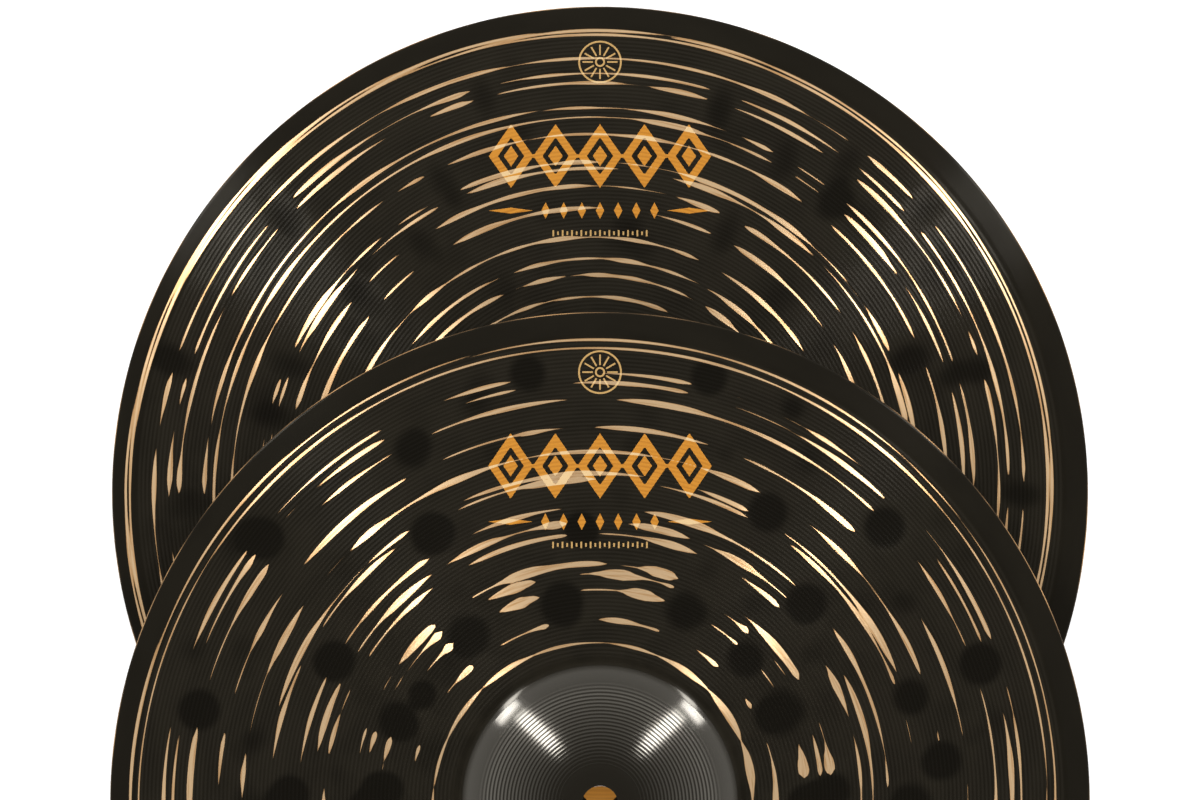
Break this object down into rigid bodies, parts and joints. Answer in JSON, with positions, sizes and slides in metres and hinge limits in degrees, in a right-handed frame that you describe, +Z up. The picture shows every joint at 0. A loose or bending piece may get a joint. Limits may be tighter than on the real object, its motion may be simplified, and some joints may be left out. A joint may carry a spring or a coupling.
{
  "type": "hi-hat cymbals",
  "caption": "Hammered and lathed bronze hi-hat cymbals laid overlapping with their bells up; each is a shallow bowed disc with a raised bell and a centre rod hole.",
  "frame": {"origin": "on the surface the pair lies on, in the middle of the pair's footprint", "axes": "+Z up from the surface, +Y from the top cymbal to the bottom cymbal, +X to the right of someone who looks along +Y"},
  "size_m": [0.3556, 0.4692, 0.0513],
  "materials": {
    "cymbal_bronze": "near-black patina over hammered cast bronze, with lathed grooves and bare golden streaks"
  },
  "bodies": {
    "bottom": {"bottom_cymbal": "cymbal_bronze"},
    "top": {"top_cymbal": "cymbal_bronze"}
  },
  "joints": [
    {"name": "top_lift", "type": "slide", "parent": "bottom", "child": "top", "axis": [0, -0.0899, 0.9959], "range_m": [0, 0.05]}
  ]
}
